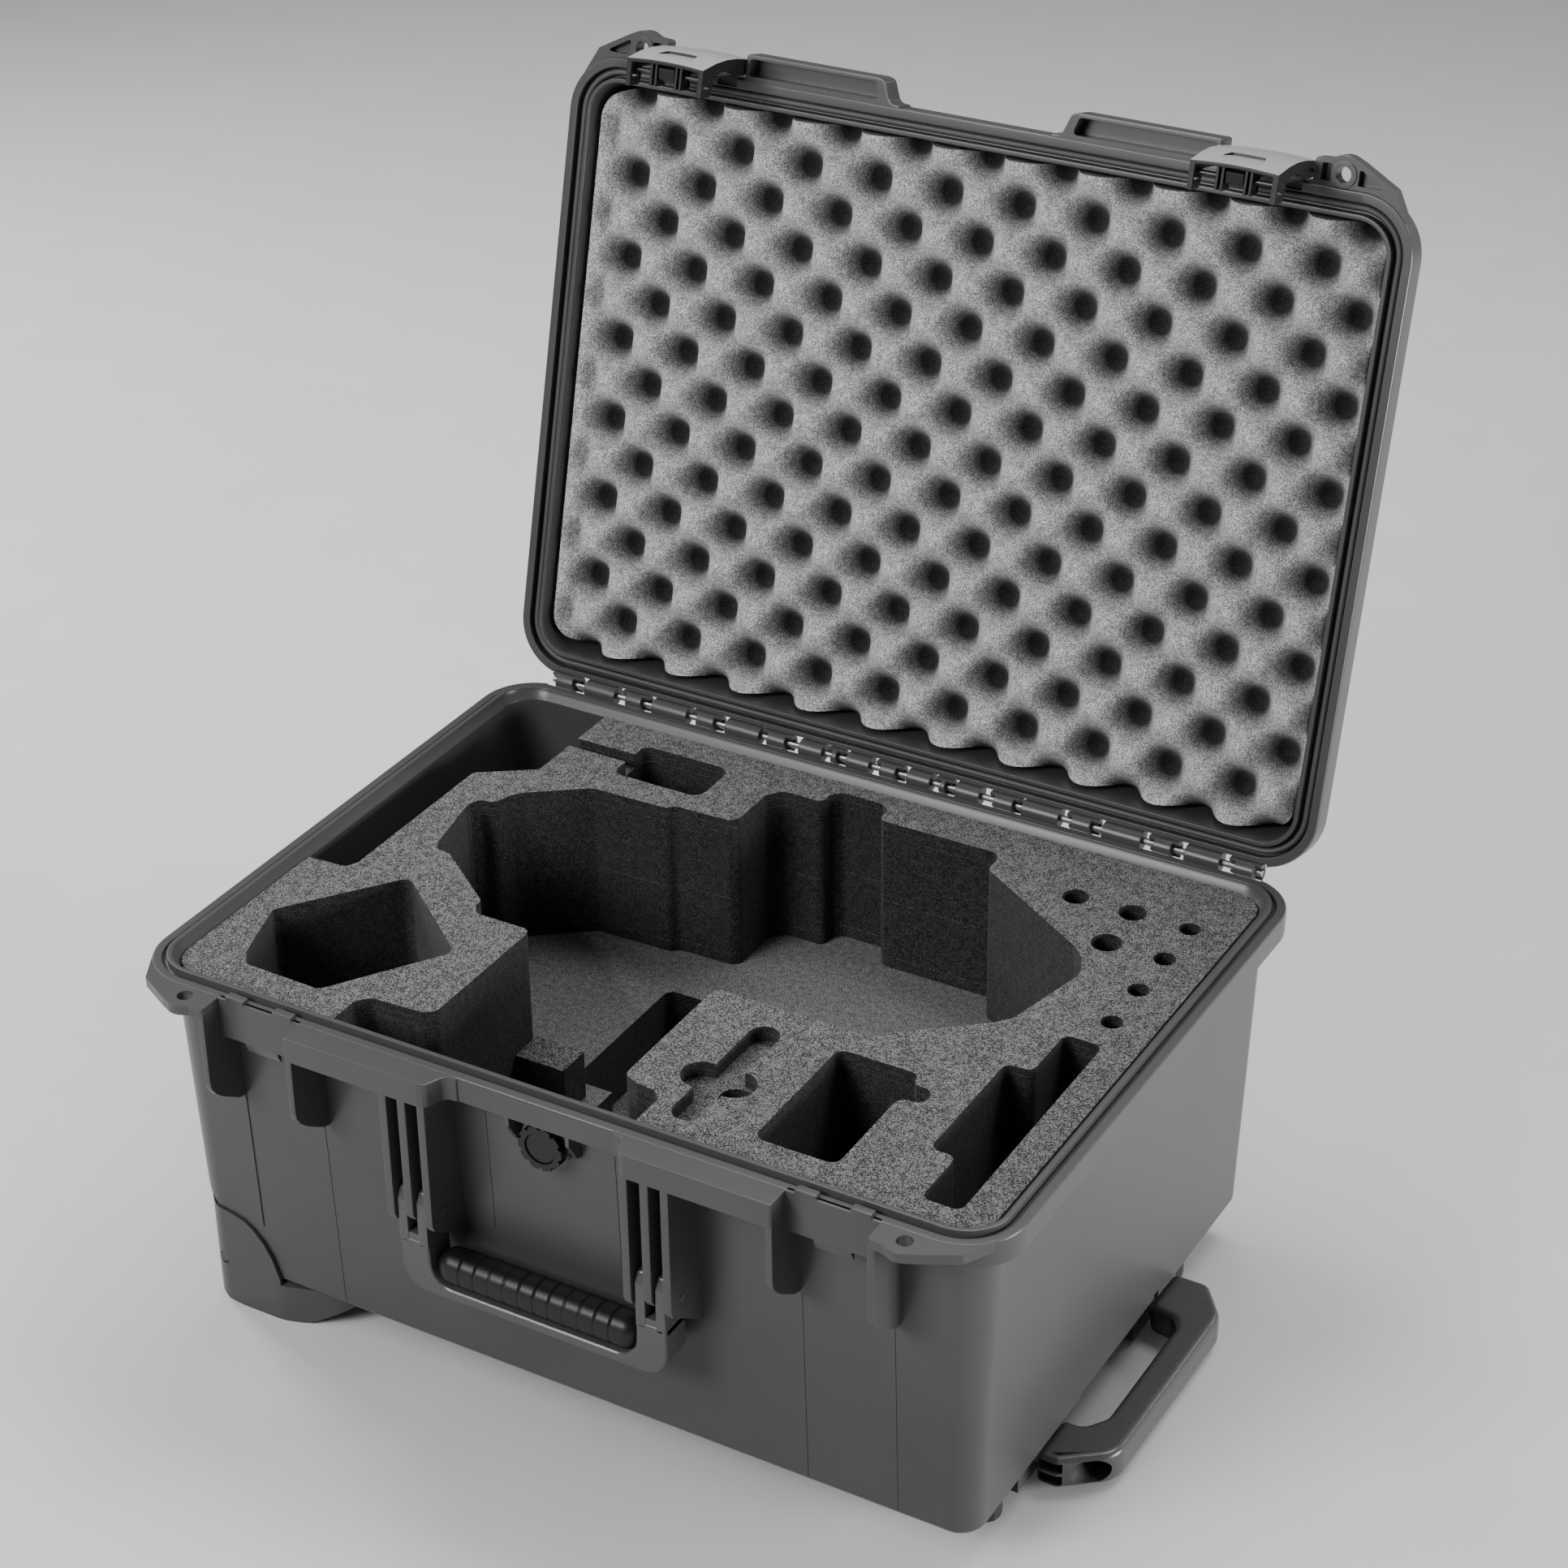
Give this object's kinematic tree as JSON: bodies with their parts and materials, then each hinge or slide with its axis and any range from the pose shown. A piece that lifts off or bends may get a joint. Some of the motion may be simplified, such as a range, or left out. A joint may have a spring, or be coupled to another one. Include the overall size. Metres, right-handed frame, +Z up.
{
  "type": "drone carrying case",
  "caption": "Wheeled hard case for a quadcopter, lid open: cut-out foam base, egg-crate lid foam, draw latches, folding front handle and pull-out trolley grip.",
  "frame": {"origin": "on the flat underside of the trolley cover, which the case stands on, at the middle of the case's width and depth", "axes": "+X to the right along the front, +Y to the back, +Z up"},
  "size_m": [0.5545, 0.5483, 0.631],
  "materials": {
    "shell_plastic": "fine moulded texture",
    "fitting_plastic": "satin",
    "latch_plastic": "satin",
    "rubber": "matte",
    "tyre": "matte",
    "foam": "open-cell foam",
    "steel": "brushed",
    "aluminium": "satin"
  },
  "bodies": {
    "base": {"base_shell": "shell_plastic", "hinge_pin": "steel", "foam_top_sheet": "foam", "foam_upper": "foam", "foam_middle": "foam", "foam_lower": "foam", "foam_floor": "foam", "foam_base": "foam", "foam_ledge_block": "foam", "valve_body": "fitting_plastic", "valve_cap": "fitting_plastic", "handle_pin_left": "steel", "handle_pin_right": "steel", "wheel_housing_front": "shell_plastic", "wheel_housing_rear": "shell_plastic", "housing_screw_front": "steel", "housing_screw_rear": "steel", "wheel_axle_front": "steel", "wheel_axle_rear": "steel", "trolley_cover": "fitting_plastic", "foot_front": "rubber", "foot_rear": "rubber"},
    "lid": {"lid_shell": "shell_plastic", "lid_gasket": "rubber", "lid_foam": "foam", "latch_pivot_pin_left": "steel", "latch_pivot_pin_right": "steel"},
    "latch_left": {"latch_body_left": "latch_plastic", "latch_claw_left": "fitting_plastic", "latch_claw_pin_left": "steel"},
    "latch_right": {"latch_body_right": "latch_plastic", "latch_claw_right": "fitting_plastic", "latch_claw_pin_right": "steel"},
    "front_handle": {"handle_frame": "fitting_plastic", "handle_grip": "rubber"},
    "wheel_front": {"wheel_tyre_front": "tyre", "wheel_hub_front": "fitting_plastic"},
    "wheel_rear": {"wheel_tyre_rear": "tyre", "wheel_hub_rear": "fitting_plastic"},
    "trolley": {"trolley_grip": "fitting_plastic", "trolley_tube_front": "aluminium", "trolley_tube_rear": "aluminium"}
  },
  "joints": [
    {"name": "lid_hinge", "type": "hinge", "parent": "base", "child": "lid", "pos_m": [0, 0.19624, 0.23334], "axis": [1, 0, 0], "range_deg": [0, 104.3]},
    {"name": "latch_left_hinge", "type": "hinge", "parent": "lid", "child": "latch_left", "pos_m": [-0.178, 0.29955, 0.61571], "axis": [-1, 0, 0], "range_deg": [0, 75]},
    {"name": "latch_right_hinge", "type": "hinge", "parent": "lid", "child": "latch_right", "pos_m": [0.178, 0.29955, 0.61571], "axis": [-1, 0, 0], "range_deg": [0, 75]},
    {"name": "front_handle_hinge", "type": "hinge", "parent": "base", "child": "front_handle", "pos_m": [0, -0.1966, 0.1425], "axis": [-1, 0, 0], "range_deg": [0, 100]},
    {"name": "trolley_slide", "type": "slide", "parent": "base", "child": "trolley", "axis": [1, 0, 0], "range_m": [0, 0.38]},
    {"name": "wheel_front_spin", "type": "hinge", "parent": "base", "child": "wheel_front", "pos_m": [-0.227, -0.155, 0.0255], "axis": [0, 1, 0], "continuous": true},
    {"name": "wheel_rear_spin", "type": "hinge", "parent": "base", "child": "wheel_rear", "pos_m": [-0.227, 0.155, 0.0255], "axis": [0, 1, 0], "continuous": true}
  ]
}
